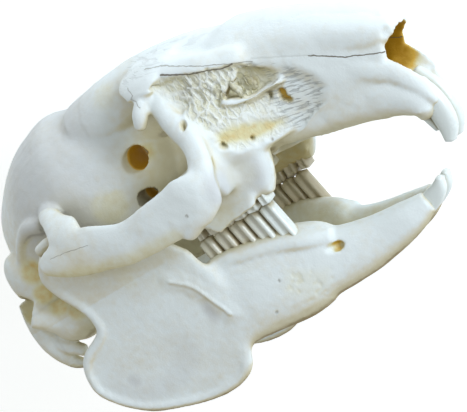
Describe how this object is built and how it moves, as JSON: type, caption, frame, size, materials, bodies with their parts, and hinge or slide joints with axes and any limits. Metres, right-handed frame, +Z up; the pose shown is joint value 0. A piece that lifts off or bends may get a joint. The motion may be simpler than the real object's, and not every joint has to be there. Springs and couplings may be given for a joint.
{
  "type": "rabbit skull",
  "caption": "Still model of a rabbit skull with its lower jaw, lying on its side: domed braincase, open eye socket, cheek arches, sunken cheek bone and long curved front teeth.",
  "frame": {"origin": "centre of the bounding box, on the floor that the skull lies on", "axes": "+X towards the nose, along the length of the skull; +Z up from the floor, out of the animal's right side and partly out of its palate; +Y towards the crown of the head"},
  "size_m": [0.088, 0.0572, 0.0468],
  "materials": {
    "bone": "bleached dry bone, smooth and slightly waxy, cream in the hollows",
    "enamel": "smooth tooth enamel, faintly glossy, blue-white"
  },
  "bodies": {
    "root": {"braincase": "bone", "bulla_left": "bone", "bulla_right": "bone", "frontal_bones": "bone", "nasal_bones": "bone", "maxillae": "bone", "premaxillae": "bone", "zygomatic_left": "bone", "zygomatic_right": "bone", "mandible_left": "bone", "mandible_right": "bone", "upper_incisor_left": "enamel", "upper_incisor_right": "enamel", "peg_tooth_left": "enamel", "peg_tooth_right": "enamel", "lower_incisor_left": "enamel", "lower_incisor_right": "enamel"}
  },
  "joints": []
}
